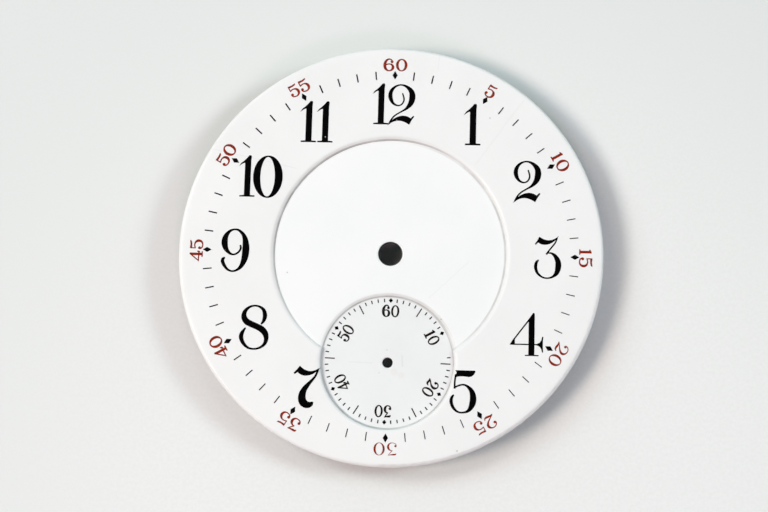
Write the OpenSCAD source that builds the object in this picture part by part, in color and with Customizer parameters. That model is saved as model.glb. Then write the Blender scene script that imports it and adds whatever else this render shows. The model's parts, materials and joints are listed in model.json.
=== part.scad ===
// Double-sunk enamel dial of a pocket watch, in millimetres.
// The face looks up, 12 lies towards +Y and 3 towards +X. The origin is on the axis of the
// centre hole, and z = 0 is the back of the ring, where the dial rests on the movement.
// The ring carries a sunk centre disc and a deeper seconds disc, both soldered in from behind.

/* [Ring] */
// Diameter of the plate over its enamel, a 16 size dial
dial_d = 43.18; // [42:0.02:46]
// Thickness of the enamel on the back of the ring
ring_back_t = 0.25; // [0.22:0.01:0.3]
// Thickness of the copper sheet of the ring
ring_copper_t = 0.25; // [0.22:0.01:0.3]
// Thickness of the white enamel on the face of the ring
ring_face_t = 0.5; // [0.45:0.01:0.6]
// How far the copper edge stands back under the face enamel
copper_margin = 0.07; // [0.04:0.01:0.2]
// How far the back enamel stands back from the rim
back_margin = 0.4; // [0.2:0.05:0.8]
// Width over which the face rolls down at the rim
shoulder_w = 0.34; // [0.2:0.02:0.5]
// Height by which the face rolls down at the rim
shoulder_h = 0.42; // [0.2:0.02:0.44]
// Width over which the enamel sinks softly before it turns down at any large edge
sink_w = 0.6; // [0.5:0.05:0.7]
// Depth of that soft sink, as it would be at the edge itself
sink_h = 0.07; // [0.04:0.01:0.1]

/* [Centre disc] */
// Bare enamel between the feet of the hour numerals and the opening for the centre disc
centre_gap = 1.845; // [1.4:0.005:2.2]
// How far the centre disc lies below the face of the ring
centre_sink = 0.27; // [0.25:0.01:0.35]
// Thickness of the enamel on the back of the centre disc
centre_back_t = 0.22; // [0.18:0.01:0.23]
// Thickness of the copper sheet of the centre disc
centre_copper_t = 0.24; // [0.2:0.01:0.25]
// Diameter of the hole that the hand arbors pass through
centre_hole_d = 2.43; // [2:0.01:3]
// Width of the rounded lip of the ring round the centre disc
centre_lip_w = 0.38; // [0.3:0.01:0.45]
// Height of the rounded lip of the ring round the centre disc
centre_lip_h = 0.23; // [0.15:0.01:0.24]

/* [Seconds disc] */
// Bare enamel between the centre hole and the opening for the seconds disc
seconds_high_gap = 3.185; // [2.6:0.005:3.5]
// Bare enamel between the opening for the seconds disc and the minute track
seconds_low_gap = 0.47; // [0.3:0.01:0.7]
// Thickness of the white enamel on the seconds disc
seconds_face_t = 0.22; // [0.18:0.01:0.26]
// Thickness of the copper sheet of the seconds disc
seconds_copper_t = 0.15; // [0.12:0.01:0.2]
// Thickness of the enamel on the back of the seconds disc
seconds_back_t = 0.12; // [0.1:0.01:0.16]
// Diameter of the hole that the seconds arbor passes through
seconds_hole_d = 1.02; // [0.8:0.01:1.3]
// Width of the rounded lip round the seconds disc
seconds_lip_w = 0.38; // [0.36:0.01:0.45]
// Height of the rounded lip that the ring has round the seconds disc
ring_seconds_lip_h = 0.38; // [0.3:0.01:0.39]
// Height of the rounded lip that the centre disc has round the seconds disc
disc_seconds_lip_h = 0.22; // [0.12:0.01:0.23]

/* [Seats and solder] */
// How far each sunk disc reaches under the lip above it
seat_overlap = 0.6; // [0.4:0.05:0.9]
// Radial clearance between a sunk disc and its ground seat
seat_clearance = 0.05; // [0.02:0.01:0.1]
// Width of copper laid bare on each side of a soldered joint
bare_w = 0.95; // [0.6:0.05:1.2]
// Height of the crown of the solder above the back
solder_crown = 0.12; // [0.06:0.01:0.2]
// Thickness of the enamel wrapped over the cut copper edge of a large opening
edge_wrap = 0.15; // [0.1:0.01:0.25]
// Thickness of the enamel that lines the two arbor holes
hole_wrap = 0.3; // [0.2:0.01:0.4]
// Width of the rounded rim of the two arbor holes
hole_lip_w = 0.12; // [0.06:0.01:0.2]
// Height of the rounded rim of the two arbor holes
hole_lip_h = 0.09; // [0.05:0.01:0.12]

/* [Feet] */
// Diameter of the copper feet
foot_d = 0.9; // [0.7:0.05:1.2]
// Length of the feet below the back of the ring
foot_l = 2.6; // [2:0.1:3.5]
// Distance of the axis of a foot from the rim
foot_margin = 2.09; // [1.8:0.01:4]
// Height of the bevel at the tip of a foot
foot_bevel = 0.15; // [0.05:0.01:0.3]
// Radius of a foot where its flared root meets the copper of the ring
foot_root_r = 0.52; // [0.5:0.01:0.54]
// Radius of the brazed fillet at the root of a foot
braze_r = 0.85; // [0.8:0.05:1]
// Depth of the brazed fillet down the foot
braze_l = 0.42; // [0.3:0.02:0.6]
// Thickness of the braze where it runs out on the copper
braze_edge_t = 0.02; // [0.01:0.01:0.04]

/* [Hour numerals] */
// Thickness of the fired paint of all numerals and tracks
paint_t = 0.02; // [0.01:0.005:0.04]
// Height of the hour numerals
hour_h = 4.25; // [3.5:0.05:4.5]
// Gap between the top of an hour numeral at 12 and the minute track
hour_gap = 0.355; // [0.2:0.005:0.6]
// How far the whole circle of hour numerals is laid towards 6
hour_drop = 0.12; // [0:0.01:0.2]

/* [Minute track] */
// Length of a minute stroke
minute_stroke_l = 0.88; // [0.6:0.02:1]
// Width of a minute stroke
minute_stroke_w = 0.11; // [0.07:0.005:0.14]
// How much the minute strokes gain in width on the side that printed heavier
stroke_swell = 0.025; // [0:0.005:0.04]
// Direction of that side, clockwise from 12
heavy_side = 320; // [0:5:355]
// Width of the lozenge at each hour
hour_lozenge_w = 0.52; // [0.3:0.02:0.6]
// Length of the lozenge at each hour
hour_lozenge_l = 0.9; // [0.6:0.02:1]
// Height of the red minute numerals
minute_h = 1.3; // [1:0.05:1.4]
// Distance of the tops of the minute numerals from the rim
minute_margin = 1.17; // [1:0.01:1.4]
// Gap between a minute stroke and the feet of the minute numerals
minute_gap = 0.01; // [0.01:0.01:0.1]

/* [Seconds track] */
// Turn of the seconds track, clockwise from 12, as the disc was soldered in
seconds_turn = 1.6; // [-3:0.1:3]
// How far the seconds track is printed off its hole, towards 12
seconds_shift = 0.17; // [0:0.01:0.2]
// Least gap between the seconds track and the edge of the opening
track_gap = 0.11; // [0.1:0.01:0.3]
// Length of a short dash
dash_l = 0.35; // [0.2:0.01:0.4]
// Width of the dashes and long strokes
dash_w = 0.11; // [0.06:0.005:0.15]
// Length of the long strokes between the numerals
long_stroke_l = 1; // [0.7:0.05:1.2]
// Width of the small lozenges
small_lozenge_w = 0.42; // [0.2:0.01:0.46]
// Length of the small lozenges
small_lozenge_l = 0.48; // [0.3:0.01:0.52]
// Height of the seconds numerals
seconds_h = 1.2; // [0.9:0.05:1.3]
// Gap between the small lozenges and the tops of the seconds numerals
seconds_numeral_gap = 0.24; // [0.15:0.01:0.4]

/* [Hidden] */
$fn = 128;
cut = 1;                 // overshoot of a cut beyond what it cuts
lip_entry = 8;           // slope in degrees at which a small rounded corner leaves a flat face
sink_entry = 1.5;        // slope in degrees at which a soft sink leaves a flat face
lip_break = 2;           // turn in degrees between a soft sink and the lip it runs into
braze_turn = 30;         // half the turn in degrees of the hollow of a brazed fillet
spill = 0.1;             // width of a corner cut beyond the corner

dial_r = dial_d / 2;
minute_numeral_r = dial_r - minute_margin - minute_h / 2;
minute_r = minute_numeral_r - minute_h / 2 - minute_gap - minute_stroke_l / 2;
minute_inner_r = minute_r - minute_stroke_l / 2;
hour_ring_r = minute_inner_r - hour_gap - hour_h / 2;
centre_open_r = hour_ring_r - hour_h / 2 - centre_gap;
centre_hole_r = centre_hole_d / 2;
seconds_high = centre_hole_r + seconds_high_gap;
seconds_low = minute_inner_r - seconds_low_gap;
seconds_y = (seconds_low + seconds_high) / 2;
seconds_open_r = (seconds_low - seconds_high) / 2;
seconds_r = seconds_open_r - seconds_shift - track_gap - small_lozenge_l / 2;
seconds_numeral_r = seconds_r - small_lozenge_l / 2 - seconds_numeral_gap - seconds_h / 2;
foot_ring_r = dial_r - foot_margin;
ring_copper_top = ring_back_t + ring_copper_t;
ring_top = ring_copper_top + ring_face_t;
centre_top = ring_top - centre_sink;
centre_copper_top = centre_back_t + centre_copper_t;
centre_disc_r = centre_open_r + seat_overlap;
centre_seat_r = centre_disc_r + seat_clearance;
seconds_top = centre_copper_top;
seconds_copper_top = seconds_top - seconds_face_t;
seconds_back_top = seconds_copper_top - seconds_copper_t;
seconds_back = seconds_back_top - seconds_back_t;
seconds_disc_r = seconds_open_r + seat_overlap;
seconds_seat_r = seconds_disc_r + seat_clearance;
seconds_hole_r = seconds_hole_d / 2;
foot_r = foot_d / 2;

enamel_white = [0.95, 0.96, 0.95];
back_grey = [0.78, 0.8, 0.8];
copper_red = [0.72, 0.45, 0.32];
solder_grey = [0.64, 0.65, 0.67];
paint_black = [0.05, 0.05, 0.06];
paint_red = [0.62, 0.18, 0.14];

// Directions of the three feet, clockwise from 12
foot_angles = [45, 162, 285];
// Each hour that is printed and its figures with their places [x, y] in hundredths of their height,
// as the hand of the dial painter laid them about the even circle of hours
hours = [
  [12, [[1, [-31.765, -0.706]], [2, [18.353, -0.706]]]], [1, [[1, [6.12, 1.41]]]],
  [2, [[2, [3.76, 0]]]], [3, [[3, [4.24, -0.24]]]], [4, [[4, [6.35, 0.47]]]],
  [5, [[5, [-5.65, -2.82]]]], [7, [[7, [-0.71, 0]]]], [8, [[8, [1.88, 0]]]],
  [9, [[9, [-1.65, 0.47]]]], [10, [[1, [-28.24, -0.71]], [0, [20.71, -2.35]]]],
  [11, [[1, [-20.47, 1.41]], [1, [19.76, 1.41]]]]
];
// How far the paint of each of them has spread, in millimetres
hour_spreads = [0.03, 0.045, 0.035, 0.03, 0.025, 0.04, 0.06, 0.05, 0.05, 0.03, 0.035];
// How far each minute number from 5 to 60 was laid off its lozenge, clockwise, in millimetres
minute_slips = [0, 0.02, 0.03, 0.04, -0.05, -0.03, -0.28, -0.08, -0.09, 0.04, -0.02, 0.01];
// How far the paint of each minute number has spread, in millimetres
minute_spreads = [0.02, 0.02, 0.02, 0.005, 0.01, -0.015, 0.015, 0.02, 0.02, 0.025, 0.02, 0.02];
// The slips of the seconds numbers from 10 to 60
seconds_slips = [-0.06, -0.04, 0.19, 0.16, 0.1, 0.05];
// How far the paint of the seconds numbers has spread
seconds_spread = 0.02;
// Seconds whose dash has worn away
worn_dashes = [11, 12, 13];
// Room that each small figure from 0 to 6 takes along its line, in hundredths of its height
small_room = [100, 69, 100, 96, 89, 90, 99];
// Width of the seconds figures against the minute figures
seconds_narrowing = 0.75;
minutes = [for (m = [5 : 5 : 60]) m];
tens = [for (s = [10 : 10 : 60]) s];

// Centre of the circle through a and b that turns by twice half_turn between them.
// Seen from a towards b, it lies on the right.
function arc_centre(a, b, half_turn) =
  (a + b) / 2 + [b.y - a.y, a.x - b.x] / (2 * tan(half_turn));

// Radius of that circle
function arc_radius(a, b, half_turn) = norm(b - a) / (2 * sin(half_turn));

// Places a piece on the seconds axis
module at_seconds() translate([0, -seconds_y, 0]) children();

// Places a piece at a clock direction in degrees from 12, at a distance from the centre
module at_clock(angle, r) rotate(-angle) translate([0, r, 0]) children();

// Places a piece on the axis of one foot
module at_foot(i) at_clock(foot_angles[i - 1], foot_ring_r) children();

// Disc whose edge runs through a and b and turns by twice half_turn between them
module arc_disc(a, b, half_turn)
  translate(arc_centre(a, b, half_turn)) circle(arc_radius(a, b, half_turn));

// Waste of one small round corner: the wall rises to the origin, and the solid lies at x > 0
module corner_waste(w, h) difference() {
  translate([-spill, -h]) square([w + spill, h + spill]);
  arc_disc([0, -h], [w, 0], atan2(h, w) - lip_entry);
}

// Waste of a fired edge, placed alike: the face sinks softly, then turns down over its lip
module edge_waste(w, h) {
  sink_turn = atan2(sink_h, sink_w) - sink_entry;
  sink_centre = arc_centre([0, -sink_h], [sink_w, 0], sink_turn);
  sink_r = arc_radius([0, -sink_h], [sink_w, 0], sink_turn);
  slope = asin((sink_centre.x - w) / sink_r);
  joint = sink_centre + sink_r * [-sin(slope), cos(slope)];
  difference() {
    translate([-spill, -h]) square([sink_w + spill, h + spill]);
    intersection() {
      translate(sink_centre) circle(sink_r);
      union() {
        arc_disc([0, -h], joint, atan2(joint.y + h, w) - slope - lip_break);
        translate([w, -h - spill]) square([sink_w, h + spill]);
      }
    }
  }
}

// Cut for a round opening with its upper edge rounded by a waste
module opening_cut(r, top) {
  rotate_extrude() {
    translate([0, seconds_back - cut]) square([r, top - seconds_back + 2 * cut]);
    translate([r, top]) children();
  }
}

// Round plate between two heights, with its upper edge rounded by a waste
module rolled_plate(r, low, high) {
  rotate_extrude() difference() {
    translate([0, low]) square([r, high - low]);
    translate([r, high]) mirror([1, 0]) children();
  }
}

// Plain round plate or plug between two heights
module plate(r, low, high) translate([0, 0, low]) cylinder(r = r, h = high - low);

// Copper blank of the ring, cut away for both sunk discs
module ring_copper() color(copper_red) difference() {
  plate(dial_r - copper_margin, ring_back_t, ring_copper_top);
  plate(centre_seat_r, -cut, ring_top);
  at_seconds() plate(seconds_open_r + edge_wrap, -cut, ring_top);
  at_seconds() plate(seconds_seat_r, -cut, seconds_top);
}

// White enamel of the ring: rolled rim, lips round both openings, seats ground from behind
module ring_enamel() color(enamel_white) difference() {
  union() {
    rolled_plate(dial_r, ring_copper_top, ring_top) edge_waste(shoulder_w, shoulder_h);
    at_seconds() plate(seconds_open_r + edge_wrap, seconds_top, ring_copper_top + spill);
  }
  plate(centre_seat_r, -cut, centre_top);
  opening_cut(centre_open_r, ring_top) edge_waste(centre_lip_w, centre_lip_h);
  at_seconds() opening_cut(seconds_open_r, ring_top) edge_waste(seconds_lip_w, ring_seconds_lip_h);
}

// Enamel on the back of the ring, left off where the discs are soldered and the feet brazed
module ring_counter_enamel() color(back_grey) difference() {
  translate([0, 0, ring_back_t]) mirror([0, 0, 1])
    rolled_plate(dial_r - back_margin, 0, ring_back_t) corner_waste(ring_back_t, ring_back_t / 2);
  plate(centre_seat_r + bare_w, -cut, ring_top);
  at_seconds() plate(seconds_seat_r + bare_w, -cut, ring_top);
  for (i = [1 : len(foot_angles)]) at_foot(i) plate(braze_r, -cut, ring_top);
}

// Copper of the centre disc
module centre_copper() color(copper_red) difference() {
  plate(centre_disc_r, centre_back_t, centre_copper_top);
  plate(centre_hole_r + hole_wrap, -cut, ring_top);
  at_seconds() plate(seconds_seat_r, -cut, ring_top);
}

// White enamel of the centre disc, wrapped down the wall of the centre hole
module centre_enamel() color(enamel_white) difference() {
  union() {
    plate(centre_disc_r, centre_copper_top, centre_top);
    plate(centre_hole_r + hole_wrap, 0, centre_copper_top + spill);
  }
  opening_cut(centre_hole_r, centre_top) corner_waste(hole_lip_w, hole_lip_h);
  at_seconds() opening_cut(seconds_open_r, centre_top) edge_waste(seconds_lip_w, disc_seconds_lip_h);
}

// Enamel on the back of the centre disc
module centre_counter_enamel() color(back_grey) difference() {
  plate(centre_disc_r - bare_w, 0, centre_back_t);
  plate(centre_hole_r + hole_wrap, -cut, ring_top);
  at_seconds() plate(seconds_seat_r + bare_w, -cut, ring_top);
}

// Soft solder between the bared copper of the ring and of the centre disc
module centre_solder() color(solder_grey) {
  inner = [centre_disc_r - bare_w, 0];
  outer = [centre_seat_r + bare_w, 0];
  half_turn = 2 * atan(2 * solder_crown / (outer.x - inner.x));
  difference() {
    rotate_extrude() difference() {
      intersection() {
        translate([inner.x, -2 * solder_crown])
          square([outer.x - inner.x, 2 * solder_crown + ring_back_t]);
        arc_disc(outer, inner, half_turn);
      }
      translate([0, centre_back_t]) square([centre_disc_r, cut]);
    }
    at_seconds() plate(seconds_seat_r + bare_w, seconds_back - cut, ring_top);
  }
}

// Copper of the seconds disc
module seconds_copper() color(copper_red) at_seconds() difference() {
  plate(seconds_disc_r, seconds_back_top, seconds_copper_top);
  plate(seconds_hole_r + hole_wrap, seconds_back - cut, ring_top);
}

// White enamel of the seconds disc, wrapped down the wall of its hole
module seconds_enamel() color(enamel_white) at_seconds() difference() {
  union() {
    plate(seconds_disc_r, seconds_copper_top, seconds_top);
    plate(seconds_hole_r + hole_wrap, seconds_back, seconds_copper_top + spill);
  }
  opening_cut(seconds_hole_r, seconds_top) corner_waste(hole_lip_w, hole_lip_h);
}

// Enamel on the back of the seconds disc
module seconds_counter_enamel() color(back_grey) at_seconds() difference() {
  plate(seconds_disc_r - bare_w, seconds_back, seconds_back_top);
  plate(seconds_hole_r + hole_wrap, seconds_back - cut, ring_top);
}

// Soft solder from the seconds disc up to the copper of the centre disc and of the ring
module seconds_solder() color(solder_grey) {
  inner = [seconds_disc_r - bare_w, seconds_back];
  outer = [seconds_seat_r + bare_w, 0];
  half_turn = 2 * atan(2 * solder_crown / norm(outer - inner));
  difference() {
    at_seconds() rotate_extrude() difference() {
      intersection() {
        translate([inner.x, seconds_back - 2 * solder_crown])
          square([outer.x - inner.x, ring_back_t - seconds_back + 2 * solder_crown]);
        arc_disc(outer, inner, half_turn);
      }
      translate([0, seconds_back_top]) square([seconds_disc_r, cut]);
    }
    plate(centre_seat_r, centre_back_t, ring_top);
  }
}

// Copper foot: bevelled at its tip, and flared where it stands on the copper of the ring
module dial_foot(i) color(copper_red) at_foot(i) rotate_extrude() polygon([
  [0, -foot_l], [foot_r - foot_bevel / 2, -foot_l], [foot_r, foot_bevel - foot_l],
  [foot_r, ring_back_t - braze_l], [foot_root_r, ring_back_t], [0, ring_back_t]
]);

// Hollow fillet of braze round the flared root of a foot
module foot_braze(i) color(copper_red) {
  low = [foot_r, ring_back_t - braze_l];
  high = [braze_r, ring_back_t - braze_edge_t];
  at_foot(i) rotate_extrude() difference() {
    polygon([low, [braze_r, low.y], [braze_r, ring_back_t], [foot_root_r, ring_back_t]]);
    arc_disc(low, high, braze_turn);
  }
}

// Knot i of a stroke, with its ends held beyond the first and last
function knot(k, i) = k[min(max(i, 0), len(k) - 1)];

// Smooth line through the knots, between knot i and the next, at t from 0 to 1
function between(k, i, t) = 0.5 * (
  2 * knot(k, i) + t * (knot(k, i + 1) - knot(k, i - 1))
  + t * t * (2 * knot(k, i - 1) - 5 * knot(k, i) + 4 * knot(k, i + 1) - knot(k, i + 2))
  + t * t * t * (3 * knot(k, i) - knot(k, i - 1) - 3 * knot(k, i + 1) + knot(k, i + 2))
);

// Middle line of a stroke, n points to a knot, each with the width in its third place
function middle(k, n) =
  concat([for (i = [0 : len(k) - 2]) for (j = [0 : n - 1]) between(k, i, j / n)], [k[len(k) - 1]]);

// Point on one side of the stroke, half its width off the middle line
function side(line, i, hand) =
  let (a = knot(line, i - 1), b = knot(line, i + 1), along = [b.x - a.x, b.y - a.y])
  [line[i].x, line[i].y] + hand * line[i].z / 2 * [-along.y, along.x] / norm(along);

// Swelling pen stroke through knots [x, y, width], all in hundredths of the figure's height
module pen(k, n) {
  line = middle(k, n);
  last = len(line) - 1;
  polygon(concat(
    [for (i = [0 : last]) side(line, i, 1)], [for (i = [last : -1 : 0]) side(line, i, -1)]
  ));
}

// Points of a curve from a to d, drawn towards b and c on the way, without d itself
function bend(a, b, c, d, n) = [
  for (j = [0 : n - 1]) let (t = j / n, s = 1 - t)
    s * s * s * a + 3 * s * s * t * b + 3 * s * t * t * c + t * t * t * d
];

// Upright oval from its two half axes
module oval(half_w, half_h, n) polygon([
  for (j = [0 : n - 1]) [half_w * cos(360 * j / n), half_h * sin(360 * j / n)]
]);

// Waved bar of the hour figures 2, 3 and 7, from its thin tip at the origin
module waved_bar(n) polygon(concat(
  bend([0, 0], [11, 17], [35, 29], [53, 14.5], 3 * n),
  [[53, 14.5], [59.5, 20.8], [60.8, 19.6], [54.5, 10.5]],
  bend([49.4, 0.5], [37, 9], [19, 16], [0, 0], 3 * n)
));

// Hour figures, 100 high on their line and centred across it
module hour_figure(d) {
  n = 3;
  if (d == 0) translate([0, 51]) difference() {
    oval(35, 51.5, 24 * n);
    translate([-0.8, 0]) oval(18.3, 49.3, 24 * n);
  }
  if (d == 1) polygon(concat(
    [[-17.5, 0], [17.5, 0], [17.5, 1.8], [6.6, 2.6], [6.6, 88], [7.6, 98], [6.4, 100.8]],
    bend([2.5, 100.4], [-5, 90], [-12, 84], [-19.5, 79.6], 2 * n),
    bend([-18.6, 77.6], [-14, 81], [-11, 83.6], [-6.6, 83], 2 * n),
    [[-6.6, 83], [-6.6, 2.6], [-17.5, 1.8]]
  ));
  if (d == 2) {
    pen([
      [1, 77, 1.4], [5, 63, 2.2], [1, 51.5, 2], [-9, 46.5, 2], [-21, 52, 4.5], [-28, 66, 8.5],
      [-27, 81, 7.5], [-18, 93, 4], [-4, 98.5, 2], [10, 94.5, 5], [22, 83, 10.5],
      [25, 68, 13.4], [21, 52, 11], [10.5, 39, 4.7], [-2, 31, 2.1], [-16, 22, 2.1],
      [-25, 11, 2.3], [-29.5, 1.5, 2.6]
    ], n);
    translate([-31, 0]) waved_bar(n);
  }
  if (d == 3) {
    translate([23, 100.5]) rotate(180) scale(0.87) waved_bar(n);
    pen([[22, 98, 1.6], [17, 86, 2], [6, 72, 2], [-3, 59, 2.8]], n);
    pen([
      [1.5, 62, 1.4], [9, 61.5, 3], [18, 54.5, 7.5], [24.5, 41.5, 11.5], [25, 28, 12.3],
      [21, 13.5, 8.8], [11.5, 4.5, 3.6], [-2, 1.2, 2], [-15, 5, 2.9], [-25, 15, 5],
      [-28.5, 28, 6.2], [-26.5, 39, 5], [-22, 44.5, 1.8]
    ], n);
  }
  if (d == 4) {
    polygon([[5.1, 0], [18, 0], [18, 98], [17, 101], [15, 101.3], [3.2, 84], [5.1, 80]]);
    polygon([[14.5, 99.5], [15.5, 97], [-28.3, 38.8], [-28.3, 25.6], [-39, 25.8], [-29.8, 40]]);
    polygon([[-33, 25.7], [27.5, 25.7], [27.5, 27.4], [-33, 27.4]]);
    polygon(concat(
      bend([24, 27.4], [33, 29.5], [36, 36], [37.2, 45], n), [[37.2, 45]],
      bend([38.6, 45], [37.3, 33], [37.3, 20], [38.6, 9], n), [[38.6, 9]],
      bend([37.2, 9], [36, 17], [33, 24], [24, 25.7], n), [[24, 25.7]]
    ));
    polygon([[-3, 0], [28, 0], [28, 1.4], [-3, 1.4]]);
  }
  if (d == 5) {
    polygon(concat(
      [[-17.3, 99.6], [27, 99.6]], bend([27.4, 97.4], [24, 90], [20, 86], [13, 86], n),
      [[13, 86], [0, 87.5], [-12, 87], [-18.8, 84], [-14.5, 95]]
    ));
    pen([[-17.9, 90, 2], [-19.8, 73, 2], [-19.8, 58, 2.7]], n);
    pen([
      [-19.8, 60, 1.8], [-9, 65, 2.1], [1, 66.8, 2.3], [11, 62.5, 4.2], [20.5, 51.5, 9.3],
      [24, 37, 12.9], [22.5, 22, 12.6], [14.5, 6.8, 6.2], [2, 1.3, 2.2], [-12, 2.8, 2.7],
      [-23, 13.5, 5], [-27.5, 27, 5.8], [-26, 36, 4.8], [-22, 42, 1.8]
    ], n);
  }
  if (d == 7) {
    translate([22, 91.3]) rotate(171) scale(0.87) waved_bar(n);
    pen([
      [22.8, 91.2, 1.4], [17.5, 77, 1.9], [10, 67, 3.2], [0, 55.5, 6.5], [-9, 43, 10.5],
      [-13.5, 28, 14.5], [-11, 14.5, 16], [-2, 8, 13.8], [7, 9, 9.5], [12, 13.5, 2]
    ], n);
  }
  if (d == 8) pen([
    [17, 61.5, 1.2], [22, 68.5, 5], [25, 81, 8], [21.5, 94.5, 6], [12, 102.3, 3],
    [0, 104.7, 2], [-13, 101, 3.4], [-23, 90.5, 7], [-25, 78, 10.5], [-18.5, 66.5, 12.6],
    [-6, 60, 12.2], [6, 55, 12], [18, 48.8, 12.7], [27, 39, 11.5], [29.8, 25, 8], [25, 12, 5],
    [13, 3.5, 2.7], [0, 1.2, 2], [-13, 4, 3.1], [-24, 14, 5.7], [-29.7, 27, 8],
    [-28.5, 38, 6.8], [-21, 50.5, 1.2]
  ], n);
  if (d == 9) pen([
    [12.5, 64, 1.7], [13.5, 56, 2.4], [7, 46, 2], [-4.5, 41.4, 2], [-15, 46.5, 5],
    [-23, 57.5, 9.8], [-25.8, 71, 12.8], [-23.5, 85, 9.8], [-15, 97.5, 4.5], [-3, 102.6, 2],
    [9, 99.8, 3.5], [20.5, 87, 7.5], [25.3, 68, 13], [25.8, 50, 14.6], [23.5, 32, 12.6],
    [16.5, 14, 7.2], [5, 3.4, 2.9], [-7, 1.2, 2], [-19, 7.5, 3.7], [-28, 21.5, 6.1],
    [-28.5, 29.5, 5.2], [-24.5, 33.5, 2]
  ], n);
}

// Small figures of the minute and seconds tracks, 100 high, drawn narrower or wider by wide
module small_figure(d, wide) {
  n = 2;
  function widened(k) = [for (p = k) [p.x * wide, p.y, p.z]];
  module small_pen(k) pen(widened(k), n);
  module drop(x, y) translate([x * wide, y]) circle(9.5, $fn = 24);
  if (d == 0) translate([0, 50]) difference() {
    oval(44 * wide, 50, 16 * n);
    oval(26 * wide, 44, 16 * n);
  }
  if (d == 1) {
    polygon([
      [-20, 0], [20, 0], [20, 5], [8.5, 9], [8.5, 93], [0, 93], [-19, 83], [-17, 78],
      [-8.5, 79], [-8.5, 9], [-20, 5]
    ]);
  }
  if (d == 2) {
    drop(-28, 67);
    small_pen([
      [-36, 64, 5], [-36, 78, 6], [-24, 93, 6], [-4, 99, 6], [15, 94, 10], [27, 82, 16],
      [30, 67, 17], [22, 51, 13], [6, 36, 8], [-14, 22, 6], [-31, 10, 5], [-37, 3, 4]
    ]);
    small_pen([
      [-39, 3, 4], [-24, 8.5, 9], [-5, 8, 14], [14, 6, 14], [28, 10, 8], [34, 22, 3]
    ]);
  }
  if (d == 3) {
    small_pen([[-33, 80, 4], [-29, 89, 12], [-12, 91, 14], [8, 93, 9], [31, 98, 3]]);
    small_pen([[29, 98, 4], [14, 80, 6], [-4, 60, 6]]);
    small_pen([
      [-6, 60, 5], [8, 60, 7], [23, 51, 14], [30, 34, 18], [25, 15, 14], [10, 3, 8],
      [-10, 2.5, 6], [-26, 9, 7], [-34, 22, 6]
    ]);
    drop(-27, 26);
  }
  if (d == 4) {
    polygon([[6, 2], [23, 2], [23, 100], [13, 100], [4, 84], [6, 78]] * [[wide, 0], [0, 1]]);
    small_pen([[15, 95, 7], [-12, 63, 6], [-37, 31, 5]]);
    small_pen([[-42, 31, 5], [0, 30, 6], [34, 31, 6]]);
    small_pen([[30, 22, 4], [35, 31, 10], [37, 42, 3]]);
    small_pen([[-6, 3, 6], [35, 3, 6]]);
  }
  if (d == 5) {
    polygon(
      [[-29, 100], [3, 96], [33, 100], [29, 91], [8, 86], [-22, 86], [-29, 84]]
      * [[wide, 0], [0, 1]]
    );
    small_pen([[-27, 92, 6], [-27, 76, 5], [-27, 57, 6]]);
    small_pen([
      [-29, 58, 5], [-10, 64, 6], [8, 63, 7], [24, 53, 14], [31, 35, 18], [26, 15, 14],
      [10, 3, 8], [-9, 2.5, 6], [-25, 9, 7], [-33, 22, 6]
    ]);
    drop(-26, 26);
  }
  if (d == 6) {
    drop(22, 76);
    small_pen([
      [27, 80, 5], [15, 94, 7], [0, 98.5, 7], [-17, 91, 12], [-30, 72, 18], [-35, 48, 20],
      [-30, 23, 18], [-16, 7, 11], [2, 2, 6], [20, 9, 12], [31, 27, 18], [27, 45, 14],
      [13, 56, 8], [-2, 58, 6]
    ]);
    small_pen([[1, 58, 6], [-14, 56, 6], [-30, 48, 6]]);
  }
}

// Fired paint on the face of the ring, from a flat drawing in millimetres
module on_ring() translate([0, 0, ring_top]) linear_extrude(paint_t) children();

// Fired paint on the seconds disc, about the axis of its own track
module on_seconds_disc() translate([0, seconds_shift - seconds_y, seconds_top])
  rotate(-seconds_turn) linear_extrude(paint_t) children();

// One upright hour numeral, at its place on the circle of hours
module hour_numeral(h, spread) color(paint_black) on_ring() {
  angle = 30 * h[0];
  for (f = h[1])
    translate([
      hour_ring_r * sin(angle) + f[1].x * hour_h / 100,
      hour_ring_r * cos(angle) + f[1].y * hour_h / 100 - hour_drop - hour_h / 2
    ]) offset(delta = spread) scale(hour_h / 100) hour_figure(f[0]);
}

// Number of one or two small figures whose tops point outward, drawn on its own place
module small_number(number, height, wide, r, slip, spread) {
  tens_place = floor(number / 10);
  units_place = number % 10;
  room = height * wide / 100;
  at_clock(6 * number, r - height / 2) translate([slip, 0]) {
    if (tens_place > 0)
      translate([-room * small_room[units_place] / 2, 0])
        offset(delta = spread) scale(height / 100) small_figure(tens_place, wide);
    translate([tens_place > 0 ? room * small_room[tens_place] / 2 : 0, 0])
      offset(delta = spread) scale(height / 100) small_figure(units_place, wide);
  }
}

module minute_numeral(m) color(paint_red) on_ring() {
  i = m / 5 - 1;
  small_number(m, minute_h, 1, minute_numeral_r, minute_slips[i], minute_spreads[i]);
}

module seconds_numeral(s) color(paint_black) on_seconds_disc() {
  slip = seconds_slips[s / 10 - 1];
  small_number(s, seconds_h, seconds_narrowing, seconds_numeral_r, slip, seconds_spread);
}

// Upright bar centred on its place
module bar(w, l) square([w, l], center = true);

// Lozenge centred on its place
module lozenge(w, l) polygon([[w / 2, 0], [0, l / 2], [-w / 2, 0], [0, -l / 2]]);

// Each stroke is a little wider the nearer it lies to the side that printed heavier
module minute_strokes() color(paint_black) on_ring()
  for (m = [1 : 59]) if (m % 5 != 0)
    at_clock(6 * m, minute_r)
      bar(minute_stroke_w + stroke_swell * cos(6 * m - heavy_side), minute_stroke_l);

module hour_lozenges() color(paint_black) on_ring()
  for (m = minutes) at_clock(6 * m, minute_r) lozenge(hour_lozenge_w, hour_lozenge_l);

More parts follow.
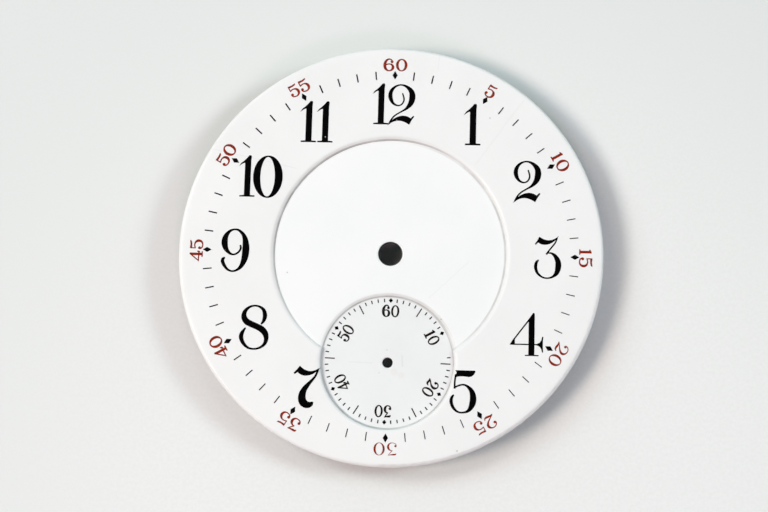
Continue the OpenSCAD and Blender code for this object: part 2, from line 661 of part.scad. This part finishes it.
module seconds_dashes() color(paint_black) on_seconds_disc()
  for (s = [1 : 59]) if (s % 5 != 0 && len(search(s, worn_dashes)) == 0)
    at_clock(6 * s, seconds_r) bar(dash_w, dash_l);

// The long strokes end a little beyond the dashes and reach in between the numerals
module seconds_long_strokes() color(paint_black) on_seconds_disc()
  for (s = [5 : 10 : 55])
    at_clock(6 * s, seconds_r + dash_l / 2 - long_stroke_l / 2) bar(dash_w, long_stroke_l);

module seconds_lozenges() color(paint_black) on_seconds_disc()
  for (s = tens) at_clock(6 * s, seconds_r) lozenge(small_lozenge_w, small_lozenge_l);

ring_copper();
ring_enamel();
ring_counter_enamel();
centre_copper();
centre_enamel();
centre_counter_enamel();
centre_solder();
seconds_copper();
seconds_enamel();
seconds_counter_enamel();
seconds_solder();
for (i = [1 : len(foot_angles)]) {
  dial_foot(i);
  foot_braze(i);
}
for (i = [0 : len(hours) - 1])
  hour_numeral(hours[i], hour_spreads[i]);
minute_strokes();
hour_lozenges();
for (m = minutes) minute_numeral(m);
seconds_dashes();
seconds_long_strokes();
seconds_lozenges();
for (s = tens) seconds_numeral(s);
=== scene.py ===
import bpy
import json
import math
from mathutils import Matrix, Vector


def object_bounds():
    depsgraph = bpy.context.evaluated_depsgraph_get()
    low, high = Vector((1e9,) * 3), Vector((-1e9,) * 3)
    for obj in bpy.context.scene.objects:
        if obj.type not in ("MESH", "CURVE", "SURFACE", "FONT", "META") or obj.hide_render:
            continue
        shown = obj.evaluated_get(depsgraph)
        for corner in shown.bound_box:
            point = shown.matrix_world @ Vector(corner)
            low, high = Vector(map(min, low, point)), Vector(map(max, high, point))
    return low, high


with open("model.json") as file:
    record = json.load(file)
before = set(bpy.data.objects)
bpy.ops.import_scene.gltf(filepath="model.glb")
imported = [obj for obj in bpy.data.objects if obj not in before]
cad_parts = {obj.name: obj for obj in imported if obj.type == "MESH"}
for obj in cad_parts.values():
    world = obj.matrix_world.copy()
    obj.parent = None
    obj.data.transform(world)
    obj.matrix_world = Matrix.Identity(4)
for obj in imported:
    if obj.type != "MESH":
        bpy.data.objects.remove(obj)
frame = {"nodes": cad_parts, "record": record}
cad_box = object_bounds()


# The copper sheets of the ring and of the two sunk discs. They are punched from rolled copper, and
# the kiln leaves them oxidised. Only their cut edges are seen, and the rings laid bare for the solder
# and round the feet.
MM = 0.001


def linear(colour):
    """Linear red, green, blue and alpha of an sRGB colour written as six hex digits."""
    parts = [int(colour[i:i + 2], 16) / 255 for i in (0, 2, 4)]
    return [p / 12.92 if p <= 0.04045 else ((p + 0.055) / 1.055) ** 2.4 for p in parts] + [1]


def add(tree, kind, inputs, **settings):
    """Adds a node, sets its settings, and sets or links its inputs. Returns its outputs."""
    new = tree.nodes.new(kind)
    for name, value in settings.items():
        setattr(new, name, value)
    for name, value in inputs.items():
        if isinstance(value, bpy.types.NodeSocket):
            tree.links.new(value, new.inputs[name])
        else:
            new.inputs[name].default_value = value
    return new.outputs


def material(name):
    """A new material with its node tree emptied but for the output, and the place on the dial."""
    made = bpy.data.materials.new(name)
    made.use_nodes = True
    tree = made.node_tree
    for old in [n for n in tree.nodes if n.type != "OUTPUT_MATERIAL"]:
        tree.nodes.remove(old)
    place = add(tree, "ShaderNodeTexCoord", {})["Object"]
    return made, tree, place


def show(tree, shader):
    """Makes a shader the one that the material shows."""
    tree.links.new(shader, tree.nodes["Material Output"].inputs["Surface"])


def wear(coat, *names):
    """Gives CAD nodes a finished material in place of their packed one."""
    for name in names:
        slots = frame["nodes"][name].data.materials
        slots.clear()
        slots.append(coat)


def metal(name, bright, dull, patch, grain, smooth, rough, relief):
    """Metal with dull, rougher patches over a fine grain. Patch, grain and its relief are in mm."""
    made, tree, place = material(name)
    clouds = add(tree, "ShaderNodeTexNoise", {
        "Vector": place, "Scale": 1 / (patch * MM), "Detail": 6, "Roughness": 0.6})
    dulled = add(tree, "ShaderNodeMapRange", {"Value": clouds["Fac"], "From Min": 0.38, "From Max": 0.66},
                 interpolation_type="SMOOTHSTEP")
    colour = add(tree, "ShaderNodeMix", {"Factor": dulled["Result"], "A": linear(bright), "B": linear(dull)},
                 data_type="RGBA")
    sheen = add(tree, "ShaderNodeMapRange", {"Value": dulled["Result"], "To Min": smooth, "To Max": rough},
                interpolation_type="SMOOTHSTEP")
    fine = add(tree, "ShaderNodeTexNoise", {"Vector": place, "Scale": 1 / (grain * MM), "Detail": 4})
    bump = add(tree, "ShaderNodeBump", {"Height": fine["Fac"], "Distance": relief * MM, "Strength": 1})
    skin = add(tree, "ShaderNodeBsdfPrincipled", {
        "Base Color": colour["Result"], "Roughness": sheen["Result"], "Normal": bump["Normal"],
        "Metallic": 1})
    show(tree, skin["BSDF"])
    return made


# Fired copper: orange-brown where it was handled, darker where the scale holds.
wear(metal("copper_fired", "B8704E", "6E3E2E", patch=1.4, grain=0.12, smooth=0.34, rough=0.62, relief=0.006),
     "ring_copper", "centre_copper", "seconds_copper")


# The enamel on the backs. It is a coarse grey-white glass fired on only to balance the pull of the
# face, so it is mottled and slightly pitted, with specks of scale from the kiln.
def lay(tree, body, mask, strength, colour):
    """Lays a colour over the body where a mask is 1, as strong as told."""
    held = add(tree, "ShaderNodeMath", {0: mask, 1: strength}, operation="MULTIPLY")
    return add(tree, "ShaderNodeMix", {"Factor": held["Value"], "A": body, "B": linear(colour)},
               data_type="RGBA")["Result"]


def counter_enamel(name, patch):
    """Grey enamel with mottles of a size in mm. It shines dully, over a ripple from the firing."""
    made, tree, place = material(name)
    speck_gap = 0.9
    mottle = add(tree, "ShaderNodeTexNoise", {
        "Vector": place, "Scale": 1 / (patch * MM), "Detail": 6, "Roughness": 0.62})
    greyed = add(tree, "ShaderNodeMapRange", {"Value": mottle["Fac"], "From Min": 0.34, "From Max": 0.68},
                 interpolation_type="SMOOTHSTEP")
    body = add(tree, "ShaderNodeMix", {
        "Factor": greyed["Result"], "A": linear("7F8486"), "B": linear("62686C")}, data_type="RGBA")
    grains = add(tree, "ShaderNodeTexVoronoi", {"Vector": place, "Scale": 1 / (speck_gap * MM)})
    flakes = add(tree, "ShaderNodeMapRange", {
        "Value": grains["Distance"], "From Min": 0.1, "From Max": 0.05}, interpolation_type="SMOOTHSTEP")
    groups = add(tree, "ShaderNodeTexNoise", {"Vector": place, "Scale": 1 / (3.1 * MM), "Detail": 3})
    few = add(tree, "ShaderNodeMapRange", {"Value": groups["Fac"], "From Min": 0.52, "From Max": 0.56},
              interpolation_type="SMOOTHSTEP")
    body = lay(tree, body["Result"], flakes["Result"], few["Result"], "3A3735")
    ripple = add(tree, "ShaderNodeTexNoise", {"Vector": place, "Scale": 1 / (0.7 * MM), "Detail": 4})
    bump = add(tree, "ShaderNodeBump", {"Height": ripple["Fac"], "Distance": 0.012 * MM, "Strength": 1})
    gloss = add(tree, "ShaderNodeMapRange", {
        "Value": mottle["Fac"], "From Min": 0.3, "From Max": 0.7, "To Min": 0.16, "To Max": 0.34},
        interpolation_type="SMOOTHSTEP")
    glass = add(tree, "ShaderNodeBsdfPrincipled", {
        "Base Color": body, "Roughness": gloss["Result"], "Normal": bump["Normal"], "IOR": 1.52})
    show(tree, glass["BSDF"])
    return made


wear(counter_enamel("counter_enamel_ring", patch=2.2), "ring_counter_enamel")
wear(counter_enamel("counter_enamel_discs", patch=1.5), "centre_counter_enamel", "seconds_counter_enamel")


# The white face of the ring. Opaque white glass is sifted on and fired in several coats, and its
# surface tension rounds the rim and the lips. It has three hairline cracks, the one at 12 very short,
# two specks of dirt fired in, and dark lines along both openings that are soil and painted shade,
# with a wider band of painted shade on the lip of the centre opening at the upper left.
mounts = {m["name"]: m for m in frame["record"]["mounts"]}
seconds_y = mounts["seconds_hole"]["pos_m"][1] / MM
# The openings over the two sunk discs, each as x, y and radius in millimetres.
centre_opening = (0, 0, 11.78)
seconds_opening = (0, seconds_y, 6.68)


def away(tree, flat, x, y):
    """Distance in metres from a point on the face that is given in millimetres."""
    return add(tree, "ShaderNodeVectorMath", {0: flat, 1: (x * MM, y * MM, 0)}, operation="DISTANCE")["Value"]


def specks(tree, flat, places):
    """1 on each of several round specks given as x, y and radius, fading out at its edge."""
    every = 0
    for x, y, r in places:
        one = add(tree, "ShaderNodeMapRange", {
            "Value": away(tree, flat, x, y), "From Min": r * MM, "From Max": 0.4 * r * MM},
            interpolation_type="SMOOTHSTEP")
        every = add(tree, "ShaderNodeMath", {0: every, 1: one["Result"]}, operation="MAXIMUM")["Value"]
    return every


def joint_soil_and_shade(tree, flat, opening, off, width, towards, reach):
    """1 along the edge of an opening, a little off it, where dirt has settled and shade is painted on.

    Most of it lies towards one azimuth in degrees. It thins out with the cosine of the angle from
    there, to nothing where the cosine equals the reach."""
    x, y, edge = opening
    r = (edge + off) * MM
    beyond = add(tree, "ShaderNodeMath", {0: away(tree, flat, x, y), 1: r}, operation="SUBTRACT")
    aside = add(tree, "ShaderNodeMath", {0: beyond["Value"]}, operation="ABSOLUTE")
    line = add(tree, "ShaderNodeMapRange", {
        "Value": aside["Value"], "From Min": width * MM, "From Max": 0.35 * width * MM},
        interpolation_type="SMOOTHSTEP")
    centred = add(tree, "ShaderNodeVectorMath", {0: flat, 1: (x * MM, y * MM, 0)}, operation="SUBTRACT")
    a = math.radians(towards)
    turned = add(tree, "ShaderNodeVectorMath", {
        0: centred["Vector"], 1: (math.cos(a) / r, math.sin(a) / r, 0)}, operation="DOT_PRODUCT")
    # Painted shade: the side weighting darkens the lip and joint most on the side given.
    side = add(tree, "ShaderNodeMapRange", {"Value": turned["Value"], "From Min": reach, "From Max": 1},
               interpolation_type="SMOOTHSTEP")
    lumps = add(tree, "ShaderNodeTexNoise", {"Vector": flat, "Scale": 1 / (2.6 * MM), "Detail": 4})
    uneven = add(tree, "ShaderNodeMapRange", {
        "Value": lumps["Fac"], "From Min": 0.3, "From Max": 0.6, "To Min": 0.6, "To Max": 1},
        interpolation_type="SMOOTHSTEP")
    patchy_soil_and_shade = add(tree, "ShaderNodeMath", {0: side["Result"], 1: uneven["Result"]}, operation="MULTIPLY")
    return add(tree, "ShaderNodeMath", {0: line["Result"], 1: patchy_soil_and_shade["Value"]}, operation="MULTIPLY")["Value"]


def hairline(tree, flat, start, end, width, wander):
    """1 on a fine crack between two points, which wanders a little off the straight line."""
    run = Vector(end) - Vector(start)
    along = add(tree, "ShaderNodeMapping", {
        "Vector": flat, "Location": (start[0] * MM, start[1] * MM, 0),
        "Rotation": (0, 0, math.atan2(run.y, run.x)), "Scale": [run.length * MM] * 3},
        vector_type="TEXTURE")
    parts = add(tree, "ShaderNodeSeparateXYZ", {"Vector": along["Vector"]})
    bends = add(tree, "ShaderNodeTexNoise", {
        "Vector": flat, "Scale": 1 / (run.length * 0.4 * MM), "Detail": 4, "Roughness": 0.6})
    sway = add(tree, "ShaderNodeMath", {0: bends["Fac"], 1: 0.5}, operation="SUBTRACT")
    swing = add(tree, "ShaderNodeMath", {0: sway["Value"], 1: wander / run.length}, operation="MULTIPLY")
    aside = add(tree, "ShaderNodeMath", {0: parts["Y"], 1: swing["Value"]}, operation="ADD")
    off = add(tree, "ShaderNodeMath", {0: aside["Value"]}, operation="ABSOLUTE")
    line = add(tree, "ShaderNodeMapRange", {
        "Value": off["Value"], "From Min": width / run.length, "From Max": 0.2 * width / run.length},
        interpolation_type="SMOOTHSTEP")
    begun = add(tree, "ShaderNodeMapRange", {"Value": parts["X"], "From Min": -0.01, "From Max": 0.03},
                interpolation_type="SMOOTHSTEP")
    ended = add(tree, "ShaderNodeMapRange", {"Value": parts["X"], "From Min": 1.01, "From Max": 0.93},
                interpolation_type="SMOOTHSTEP")
    ends = add(tree, "ShaderNodeMath", {0: begun["Result"], 1: ended["Result"]}, operation="MULTIPLY")
    return add(tree, "ShaderNodeMath", {0: line["Result"], 1: ends["Value"]}, operation="MULTIPLY")["Value"]


def white_enamel(name, white, shade, cloud, marks, hole=None, edge=0):
    """Opaque white enamel with faint clouds of a size in mm, and marks laid over it.

    Each mark is a way of drawing, its measures, its strength and its colour. A hole is given as x, y
    and radius, and its wall is painted nearly black as shade, fading out over the rounded edge.
    waves from the firing and a fine haze from handling."""
    made, tree, place = material(name)
    flat = add(tree, "ShaderNodeVectorMath", {0: place, 1: (1, 1, 0)}, operation="MULTIPLY")["Vector"]
    puffs = add(tree, "ShaderNodeTexNoise", {"Vector": place, "Scale": 1 / (cloud * MM), "Detail": 5})
    clouds = add(tree, "ShaderNodeMapRange", {"Value": puffs["Fac"], "From Min": 0.3, "From Max": 0.7},
                 interpolation_type="SMOOTHSTEP")
    body = add(tree, "ShaderNodeMix", {
        "Factor": clouds["Result"], "A": linear(white), "B": linear(shade)}, data_type="RGBA")["Result"]
    for draw, measures, strength, colour in marks:
        body = lay(tree, body, draw(tree, flat, **measures), strength, colour)
    # Painted shade: the wall of the hole is coloured nearly black, the dark inside the hole, fading out over
    # its rounded edge.
    if hole:
        x, y, r = hole
        wall = add(tree, "ShaderNodeMapRange", {
            "Value": away(tree, flat, x, y), "From Min": (r + edge) * MM, "From Max": (r + 0.002) * MM},
            interpolation_type="SMOOTHSTEP")
        body = lay(tree, body, wall["Result"], 0.97, "1C1714")
    waves = add(tree, "ShaderNodeTexNoise", {"Vector": place, "Scale": 1 / (3.2 * MM), "Detail": 2})
    bump = add(tree, "ShaderNodeBump", {"Height": waves["Fac"], "Distance": 0.006 * MM, "Strength": 1})
    haze = add(tree, "ShaderNodeTexNoise", {
        "Vector": place, "Scale": 1 / (0.35 * MM), "Detail": 5, "Roughness": 0.65})
    gloss = add(tree, "ShaderNodeMapRange", {
        "Value": haze["Fac"], "From Min": 0.35, "From Max": 0.75, "To Min": 0.3, "To Max": 0.4},
        interpolation_type="SMOOTHSTEP")
    glass = add(tree, "ShaderNodeBsdfPrincipled", {
        "Base Color": body, "Roughness": gloss["Result"], "Normal": bump["Normal"],
        "IOR": 1.5, "Specular IOR Level": 0.22})
    show(tree, glass["BSDF"])
    return made


dirt = [(9.86, 14.32, 0.11), (7.16, -19.78, 0.13)]
wear(white_enamel("enamel_white_ring", "F7F7F8", "F4F4F5", cloud=7, marks=[
    (hairline, dict(start=(13.42, 16.4), end=(8.32, 9.24), width=0.13, wander=0.3), 0.045, "8B8580"),
    (hairline, dict(start=(-19.06, 10.6), end=(-9.5, 8.57), width=0.08, wander=0.2), 0.07, "8F7F78"),
    (hairline, dict(start=(4.58, 21.25), end=(4.42, 19.32), width=0.1, wander=0.1), 0.05, "8B8580"),
    (specks, dict(places=dirt), 0.4, "6F665E"),
    # Soil and painted shade along the openings: a dark line and a wider band on the centre lip, heaviest at
    # the upper left, and a line round the seconds opening.
    (joint_soil_and_shade, dict(opening=centre_opening, off=0.06, width=0.14, towards=135, reach=-0.5), 0.45, "6B5F57"),
    (joint_soil_and_shade, dict(opening=centre_opening, off=0.16, width=0.4, towards=140, reach=0.1), 0.22, "77706B"),
    (joint_soil_and_shade, dict(opening=seconds_opening, off=0.02, width=0.12, towards=200, reach=-2.5), 0.35, "5F5853")]),
    "ring_enamel")


# The white face of the centre disc, fired on its own plate and soldered in below the ring.
# Dirt and painted shade darken it where it meets the lip of the ring and round the seconds opening,
# with a wider band of painted shade on that lip towards 12. It has one faint hairline and two specks,
# and the wall of its hole is painted nearly black as shade.
centre_hole = (0, 0, mounts["centre_hole"]["dims"]["r_mm"])
dirt = [(-10.43, -2.15, 0.11), (5.29, -6.6, 0.12)]
wear(white_enamel("enamel_white_centre", "FBFCFD", "F8FAFB", cloud=6, marks=[
    (hairline, dict(start=(3.93, -4.54), end=(8.1, -0.45), width=0.09, wander=0.4), 0.06, "8B8580"),
    (specks, dict(places=dirt), 0.4, "857A70"),
    # Soil and painted shade: a line inside the lip of the ring, heaviest towards 3, a line round the seconds
    # opening, heaviest towards 12, and a wider band of painted shade that dims the lip there.
    (joint_soil_and_shade, dict(opening=centre_opening, off=-0.12, width=0.15, towards=8, reach=0.1), 0.42, "6B5F57"),
    (joint_soil_and_shade, dict(opening=seconds_opening, off=0.02, width=0.13, towards=110, reach=-0.9), 0.42, "5F5853"),
    (joint_soil_and_shade, dict(opening=seconds_opening, off=0.2, width=0.24, towards=78, reach=-0.3), 0.26, "77706B")],
    hole=centre_hole, edge=0.045),
    "centre_enamel")


# The white face of the seconds disc, a third plate set deeper still. Its enamel is a little greyer.
# It has a worn line, a faint scratch and a warm smudge beside its hole, whose wall is painted nearly
# black as shade. Soil and painted shade darken its edge, most towards the lower right.
seconds_hole = (0, seconds_y, mounts["seconds_hole"]["dims"]["r_mm"])
smudge = [(1.4, -12.3, 0.45), (0.7, -12.0, 0.5)]
dirt = [(-0.09, -9.79, 0.12), (-0.83, -12.13, 0.1)]
wear(white_enamel("enamel_white_seconds", "F2F4F5", "EFF0F2", cloud=5, marks=[
    (hairline, dict(start=(1.44, -10.3), end=(1.52, -11.5), width=0.14, wander=0.15), 0.1, "8F9092"),
    (hairline, dict(start=(-3.89, -11.1), end=(-1.47, -11.14), width=0.1, wander=0.1), 0.07, "8F9092"),
    (specks, dict(places=smudge), 0.07, "C7A680"),
    (specks, dict(places=dirt), 0.2, "8A8177"),
    # Soil and painted shade along the edge, heaviest towards the lower right.
    (joint_soil_and_shade, dict(opening=seconds_opening, off=-0.03, width=0.13, towards=320, reach=-1.3), 0.42, "5F5853")],
    hole=seconds_hole, edge=0.016),
    "seconds_enamel")


# The black numerals and tracks. They are printed in ground enamel colour and fired on, dense on the
# ring and thinner on the seconds disc. Fine pinholes let the white through at four places.
def fired_paint(name, deep, thin, patch, smooth, pinholes=()):
    """Hard glossy paint, with thinner patches of a size in mm and the grain of the ground colour."""
    made, tree, place = material(name)
    # The ground colour is finer than this. Its grit is drawn coarse enough to show.
    grit = 0.05
    coverage = add(tree, "ShaderNodeTexNoise", {
        "Vector": place, "Scale": 1 / (patch * MM), "Detail": 5, "Roughness": 0.6})
    thinned = add(tree, "ShaderNodeMapRange", {"Value": coverage["Fac"], "From Min": 0.45, "From Max": 0.8},
                  interpolation_type="SMOOTHSTEP")
    body = add(tree, "ShaderNodeMix", {
        "Factor": thinned["Result"], "A": linear(deep), "B": linear(thin)}, data_type="RGBA")["Result"]
    if pinholes:
        flat = add(tree, "ShaderNodeVectorMath", {0: place, 1: (1, 1, 0)}, operation="MULTIPLY")["Vector"]
        body = lay(tree, body, specks(tree, flat, pinholes), 0.8, "D8D4CF")
    grain = add(tree, "ShaderNodeTexNoise", {"Vector": place, "Scale": 1 / (grit * MM), "Detail": 3})
    bump = add(tree, "ShaderNodeBump", {"Height": grain["Fac"], "Distance": 0.003 * MM, "Strength": 1})
    sheen = add(tree, "ShaderNodeMapRange", {
        "Value": grain["Fac"], "From Min": 0.3, "From Max": 0.7, "To Min": smooth, "To Max": smooth + 0.12},
        interpolation_type="SMOOTHSTEP")
    paint = add(tree, "ShaderNodeBsdfPrincipled", {
        "Base Color": body, "Roughness": sheen["Result"], "Normal": bump["Normal"],
        "IOR": 1.45, "Specular IOR Level": 0.15})
    show(tree, paint["BSDF"])
    return made


def figures(start):
    """The names of the numerals of one ring of figures."""
    return [n for n in frame["nodes"] if n.startswith(start)]


pinholes = [(-6.4, 15.1, 0.07), (-7.0, 12.0, 0.08), (0.3, 13.9, 0.06), (16.7, -0.6, 0.06)]
wear(fired_paint("paint_black_hours", "050405", "0B090A", patch=0.5, smooth=0.12, pinholes=pinholes),
     *figures("hour_numeral"))
wear(fired_paint("paint_black_tracks", "070607", "1B1817", patch=0.3, smooth=0.14),
     "minute_strokes", "hour_lozenges", "seconds_lozenges")
wear(fired_paint("paint_black_seconds", "1E1816", "4A403C", patch=0.3, smooth=0.16),
     "seconds_dashes", "seconds_long_strokes", *figures("seconds_numeral"))


# The minute numerals, printed in iron red. The red is thinner than the black, so it varies from
# a deep brownish red to a lighter one.
wear(fired_paint("paint_red_minutes", "85281B", "B0452E", patch=0.25, smooth=0.16),
     *figures("minute_numeral"))


# The soft solder that holds each sunk disc. Tin and lead are run round the bared copper behind,
# and the bead sets in ripples, a bright grey with brown traces of flux.
solder, tree, place = material("soft_solder")
traces = add(tree, "ShaderNodeTexNoise", {
    "Vector": place, "Scale": 1 / (2.4 * MM), "Detail": 5, "Roughness": 0.6})
stains = add(tree, "ShaderNodeMapRange", {"Value": traces["Fac"], "From Min": 0.5, "From Max": 0.72},
             interpolation_type="SMOOTHSTEP")
colour = add(tree, "ShaderNodeMix", {
    "Factor": stains["Result"], "A": linear("A9AAAD"), "B": linear("77695C")}, data_type="RGBA")
ripples = add(tree, "ShaderNodeTexNoise", {
    "Vector": place, "Scale": 1 / (0.8 * MM), "Detail": 4, "Roughness": 0.55})
sheen = add(tree, "ShaderNodeMapRange", {
    "Value": ripples["Fac"], "From Min": 0.3, "From Max": 0.7, "To Min": 0.24, "To Max": 0.46},
    interpolation_type="SMOOTHSTEP")
bump = add(tree, "ShaderNodeBump", {"Height": ripples["Fac"], "Distance": 0.06 * MM, "Strength": 1})
bead = add(tree, "ShaderNodeBsdfPrincipled", {
    "Base Color": colour["Result"], "Roughness": sheen["Result"], "Normal": bump["Normal"], "Metallic": 1})
show(tree, bead["BSDF"])
wear(solder, "centre_solder", "seconds_solder")


# The three feet, drawn copper wire brazed upright to the ring, and the brass of their fillets.
# Handling has polished the feet, and the kiln has dulled the fillets.
wear(metal("copper_feet", "C98461", "9A5B40", patch=0.5, grain=0.06, smooth=0.26, rough=0.42, relief=0.003),
     "dial_foot_1", "dial_foot_2", "dial_foot_3")
wear(metal("braze_fillet", "C2A05A", "8A6A3C", patch=0.4, grain=0.08, smooth=0.3, rough=0.5, relief=0.006),
     "foot_braze_1", "foot_braze_2", "foot_braze_3")


# The table, a sheet of matt white card with a faint tooth. The dial stands on it on its three feet.
# Its colour carries a painted pool of light: whitest near 5 o'clock and a little greyer farther out.
lit_spot = (8, -22)
lit_r = 20
dim_r = 68
bpy.ops.mesh.primitive_grid_add(x_subdivisions=8, y_subdivisions=8, size=1.6,
                                location=(0, 0, cad_box[0][2]))
table = bpy.context.object
table.name = "table"
card, tree, place = material("card_matt_white")
# Painted light: the card is lighter round the lit spot and greyer towards its edges.
light_falloff = add(tree, "ShaderNodeMapRange", {
    "Value": away(tree, place, *lit_spot), "From Min": lit_r * MM, "From Max": dim_r * MM},
    interpolation_type="SMOOTHSTEP")
white = add(tree, "ShaderNodeMix", {
    "Factor": light_falloff["Result"], "A": linear("F2F3F3"), "B": linear("E4E7E7")}, data_type="RGBA")
# The fibres of the card are finer than this. Its tooth is drawn coarse enough to show.
fibre = 0.35
tooth = add(tree, "ShaderNodeTexNoise", {"Vector": place, "Scale": 1 / (fibre * MM), "Detail": 3})
hollows = add(tree, "ShaderNodeMapRange", {"Value": tooth["Fac"], "From Min": 0.3, "From Max": 0.7},
              interpolation_type="SMOOTHSTEP")
sheet = add(tree, "ShaderNodeBsdfPrincipled", {
    "Base Color": lay(tree, white["Result"], hollows["Result"], 0.4, "E8EAEA"),
    "Roughness": 0.9, "IOR": 1.45, "Specular IOR Level": 0.1})
show(tree, sheet["BSDF"])
table.data.materials.append(card)


# The light of a pale studio: a warm window on the left with a cooler one behind it, a cool one on the
# right, two weaker lamps high behind and one in front. The walls are pale behind the dial and dark
# before it, and it is dark straight above.
def lamp(name, azimuth, height, width, power_share, colour):
    """Round soft lamp 80 cm from the dial, with its place and width in degrees.

    Its share is the part of the table's light it gives. Its colour is linear red, green and blue."""
    distance = 0.8
    made = bpy.data.objects.new(name, bpy.data.lights.new(name, "AREA"))
    bpy.context.collection.objects.link(made)
    a = math.radians(azimuth)
    h = math.radians(height)
    away_to = Vector((math.cos(a) * math.cos(h), math.sin(a) * math.cos(h), math.sin(h)))
    made.location = away_to * distance
    made.rotation_euler = away_to.to_track_quat("Z", "Y").to_euler()
    made.data.shape = "DISK"
    made.data.size = 2 * distance * math.tan(math.radians(width / 2))
    made.data.energy = power_share * (math.pi * distance) ** 2 / math.sin(h)
    made.data.color = colour


lamp("left_window", azimuth=196, height=49.5, width=18, power_share=0.374, colour=(1, 0.885, 0.781))
lamp("back_left_window", azimuth=160, height=42, width=24, power_share=0.188, colour=(0.721, 0.953, 1))
lamp("right_window", azimuth=10, height=39, width=16, power_share=0.192, colour=(0.821, 1, 0.978))
lamp("high_left_lamp", azimuth=147, height=60, width=14, power_share=0.091, colour=(1, 0.808, 0.68))
lamp("high_back_lamp", azimuth=83, height=59, width=13, power_share=0.049, colour=(0.871, 0.835, 1))
lamp("front_lamp", azimuth=282, height=48, width=20, power_share=0.1, colour=(1, 0.656, 0.842))

dark_wall = (0.01, 0.01, 0.01, 1)
pale_wall = (0.327, 0.375, 0.388, 1)
dark_ceiling = (0.015, 0.015, 0.015, 1)
room = bpy.data.worlds.new("pale_studio")
bpy.context.scene.world = room
room.use_nodes = True
tree = room.node_tree
looking = add(tree, "ShaderNodeTexCoord", {})
parts = add(tree, "ShaderNodeSeparateXYZ", {"Vector": looking["Generated"]})
behind = add(tree, "ShaderNodeMapRange", {"Value": parts["Y"], "From Min": -1, "From Max": 1})
wall = add(tree, "ShaderNodeMix", {"Factor": behind["Result"], "A": dark_wall, "B": pale_wall},
           data_type="RGBA")
above = add(tree, "ShaderNodeMapRange", {"Value": parts["Z"], "From Min": 0.78, "From Max": 0.86},
            interpolation_type="SMOOTHSTEP")
sky = add(tree, "ShaderNodeMix", {"Factor": above["Result"], "A": wall["Result"], "B": dark_ceiling},
          data_type="RGBA")
tree.links.new(sky["Result"], tree.nodes["Background"].inputs["Color"])
bpy.context.scene.view_settings.view_transform = "Standard"


# The camera looks down on the face from a little below 6, on a long lens from 17 cm away. 12 leans
# a degree and a half clockwise off the upright, as the dial lies on the table. The camera's place
# is in millimetres and its turn in degrees.
lens = 79.38
camera_place = (5.444, -29.108, 170.269)
camera_turn = (9.709, 1.790, 1.559)
camera = bpy.data.objects.new("camera", bpy.data.cameras.new("camera"))
bpy.context.collection.objects.link(camera)
camera.data.lens = lens
camera.data.clip_start = 0.01
camera.data.clip_end = 5
camera.location = [c * MM for c in camera_place]
camera.rotation_euler = [math.radians(a) for a in camera_turn]
bpy.context.scene.camera = camera
